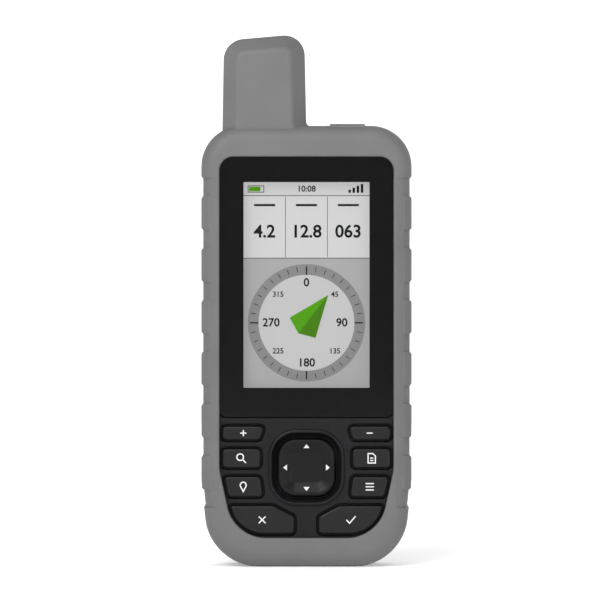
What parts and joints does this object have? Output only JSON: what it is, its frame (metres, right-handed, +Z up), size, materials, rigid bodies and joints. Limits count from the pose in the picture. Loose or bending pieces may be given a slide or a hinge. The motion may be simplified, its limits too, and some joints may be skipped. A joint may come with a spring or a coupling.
{
  "type": "handheld gps unit",
  "caption": "Handheld satellite navigator in a grey silicone sleeve, with display, rubber keys, thumb rocker, aerial stub and a battery door with mounting spine.",
  "frame": {"origin": "on the ground under the middle of the object's box, with the unit standing on its foot", "axes": "+Z up along the aerial stub, the display faces -Y, +X to the right as seen by the user"},
  "size_m": [0.0666, 0.0354, 0.1682],
  "materials": {
    "silicone": "matte moulded silicone",
    "black_housing": "fine moulded texture",
    "dark_housing": "fine moulded texture",
    "seal_rubber": "moulded rubber",
    "dark_glass": "polished window with a printed black border",
    "lcd_glass": "polariser film",
    "tray_plastic": "moulded",
    "key_rubber": "satin rubber",
    "dome_film": "polyester film",
    "circuit_board": "solder mask",
    "tinned_steel": "tin plate",
    "aerial_ceramic": "ceramic",
    "cell_steel": "printed cell wrap",
    "contacts": "nickel plate",
    "lock_metal": "satin stainless steel",
    "cap_rubber": "moulded rubber",
    "screw_steel": "zinc plate"
  },
  "bodies": {
    "unit": {"silicone_sleeve": "silicone", "front_housing": "black_housing", "rear_housing": "dark_housing", "housing_seal": "seal_rubber", "lens_window": "dark_glass", "lens_seal": "seal_rubber", "lcd_panel": "lcd_glass", "backlight_tray": "tray_plastic", "key_mat": "key_rubber", "dome_sheet": "dome_film", "main_board": "circuit_board", "shield_can": "tinned_steel", "io_board": "circuit_board", "usb_socket": "tinned_steel", "beeper": "tray_plastic", "aerial_helix": "aerial_ceramic", "cell_left": "cell_steel", "cell_right": "cell_steel", "spring_left": "contacts", "spring_right": "contacts", "link_plate": "contacts", "contact_left": "contacts", "contact_right": "contacts", "door_seal": "seal_rubber", "housing_screw_1": "screw_steel", "housing_screw_2": "screw_steel", "housing_screw_3": "screw_steel", "housing_screw_4": "screw_steel", "housing_screw_5": "screw_steel", "housing_screw_6": "screw_steel"},
    "key_quit": {"key_quit": "key_rubber"},
    "key_enter": {"key_enter": "key_rubber"},
    "key_mark": {"key_mark": "key_rubber"},
    "key_menu": {"key_menu": "key_rubber"},
    "key_find": {"key_find": "key_rubber"},
    "key_page": {"key_page": "key_rubber"},
    "key_zoom_in": {"key_zoom_in": "key_rubber"},
    "key_zoom_out": {"key_zoom_out": "key_rubber"},
    "rocker_pivot": {"rocker_pivot": "tray_plastic"},
    "rocker_pad": {"rocker_pad": "key_rubber"},
    "power_key": {"power_key": "key_rubber"},
    "sleeve_power_pad": {"sleeve_power_pad": "silicone"},
    "battery_door": {"battery_door": "dark_housing"},
    "door_lock": {"door_lock": "lock_metal"},
    "lock_ring": {"lock_ring": "lock_metal"},
    "usb_cap": {"usb_cap": "cap_rubber"}
  },
  "joints": [
    {"name": "key_quit_press", "type": "slide", "parent": "unit", "child": "key_quit", "axis": [0, 1, 0], "range_m": [0, 0.0008], "stiffness_N_per_m": 1500},
    {"name": "key_enter_press", "type": "slide", "parent": "unit", "child": "key_enter", "axis": [0, 1, 0], "range_m": [0, 0.0008], "stiffness_N_per_m": 1500},
    {"name": "key_mark_press", "type": "slide", "parent": "unit", "child": "key_mark", "axis": [0, 1, 0], "range_m": [0, 0.0008], "stiffness_N_per_m": 1500},
    {"name": "key_menu_press", "type": "slide", "parent": "unit", "child": "key_menu", "axis": [0, 1, 0], "range_m": [0, 0.0008], "stiffness_N_per_m": 1500},
    {"name": "key_find_press", "type": "slide", "parent": "unit", "child": "key_find", "axis": [0, 1, 0], "range_m": [0, 0.0008], "stiffness_N_per_m": 1500},
    {"name": "key_page_press", "type": "slide", "parent": "unit", "child": "key_page", "axis": [0, 1, 0], "range_m": [0, 0.0008], "stiffness_N_per_m": 1500},
    {"name": "key_zoom_in_press", "type": "slide", "parent": "unit", "child": "key_zoom_in", "axis": [0, 1, 0], "range_m": [0, 0.0008], "stiffness_N_per_m": 1500},
    {"name": "key_zoom_out_press", "type": "slide", "parent": "unit", "child": "key_zoom_out", "axis": [0, 1, 0], "range_m": [0, 0.0008], "stiffness_N_per_m": 1500},
    {"name": "rocker_tilt_up_down", "type": "hinge", "parent": "unit", "child": "rocker_pivot", "pos_m": [0, -0.01355, 0.0314], "axis": [1, 0, 0], "range_deg": [-5, 5], "stiffness_Nm_per_rad": 0.3},
    {"name": "rocker_tilt_left_right", "type": "hinge", "parent": "rocker_pivot", "child": "rocker_pad", "pos_m": [0, -0.01355, 0.0314], "axis": [0, 0, 1], "range_deg": [-5, 5], "stiffness_Nm_per_rad": 0.3},
    {"name": "power_key_press", "type": "slide", "parent": "unit", "child": "power_key", "axis": [0, 0, -1], "range_m": [0, 0.0006], "stiffness_N_per_m": 1500},
    {"name": "sleeve_power_pad_press", "type": "slide", "parent": "unit", "child": "sleeve_power_pad", "axis": [0, 0, -1], "range_m": [0, 0.0006], "stiffness_N_per_m": 1500},
    {"name": "battery_door_lift", "type": "slide", "parent": "unit", "child": "battery_door", "axis": [0, 1, 0], "range_m": [0, 0.025]},
    {"name": "door_lock_turn", "type": "hinge", "parent": "battery_door", "child": "door_lock", "pos_m": [0, 0.01345, 0.0178], "axis": [0, 1, 0], "range_deg": [0, 90]},
    {"name": "lock_ring_fold", "type": "hinge", "parent": "door_lock", "child": "lock_ring", "pos_m": [0, 0.01245, 0.0202], "axis": [1, 0, 0], "range_deg": [0, 90]},
    {"name": "usb_cap_open", "type": "hinge", "parent": "unit", "child": "usb_cap", "pos_m": [0, 0.01345, 0.1073], "axis": [1, 0, 0], "range_deg": [0, 100]}
  ],
  "couplings": [
    {"joint": "power_key_press", "follows": "sleeve_power_pad_press", "ratio": 1}
  ]
}
